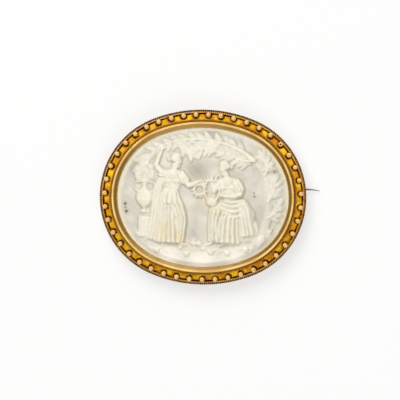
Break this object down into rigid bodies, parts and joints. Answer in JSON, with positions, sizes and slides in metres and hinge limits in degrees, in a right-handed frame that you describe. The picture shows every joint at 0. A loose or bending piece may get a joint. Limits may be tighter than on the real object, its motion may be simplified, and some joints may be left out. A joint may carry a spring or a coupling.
{
  "type": "cameo brooch",
  "caption": "Oval cameo brooch: a domed carved shell in a gold frame with a granulated channel, twisted wire edges, a polished bezel and a hinged pin with an open catch.",
  "frame": {"origin": "under the oval's centre, on the plane of the cloth that the back is pinned to", "axes": "+Z out of the carved face, +X to the wearer's view right along the long axis, towards the pin's point, +Y up"},
  "size_m": [0.0615, 0.049, 0.0092],
  "materials": {
    "frame_gold": "bloomed yellow gold, darker in the grooves",
    "wire_gold": "twisted gold wire, dull in its notches",
    "bezel_gold": "polished gold",
    "shell": "carved shell, satin, slightly translucent",
    "fitting_gold": "satin gold",
    "pin_metal": "greyish low-carat gold wire"
  },
  "bodies": {
    "brooch": {"frame": "frame_gold", "outer_rope": "wire_gold", "inner_rope": "wire_gold", "bezel": "bezel_gold", "cameo": "shell", "hinge": "fitting_gold", "hinge_rivet": "fitting_gold", "catch": "fitting_gold"},
    "pin": {"pin": "pin_metal"}
  },
  "joints": [
    {"name": "pin_swing", "type": "hinge", "parent": "brooch", "child": "pin", "pos_m": [-0.0255, 0.00263, 0.00127], "axis": [0, 0.9511, -0.309], "range_deg": [0, 85]}
  ]
}
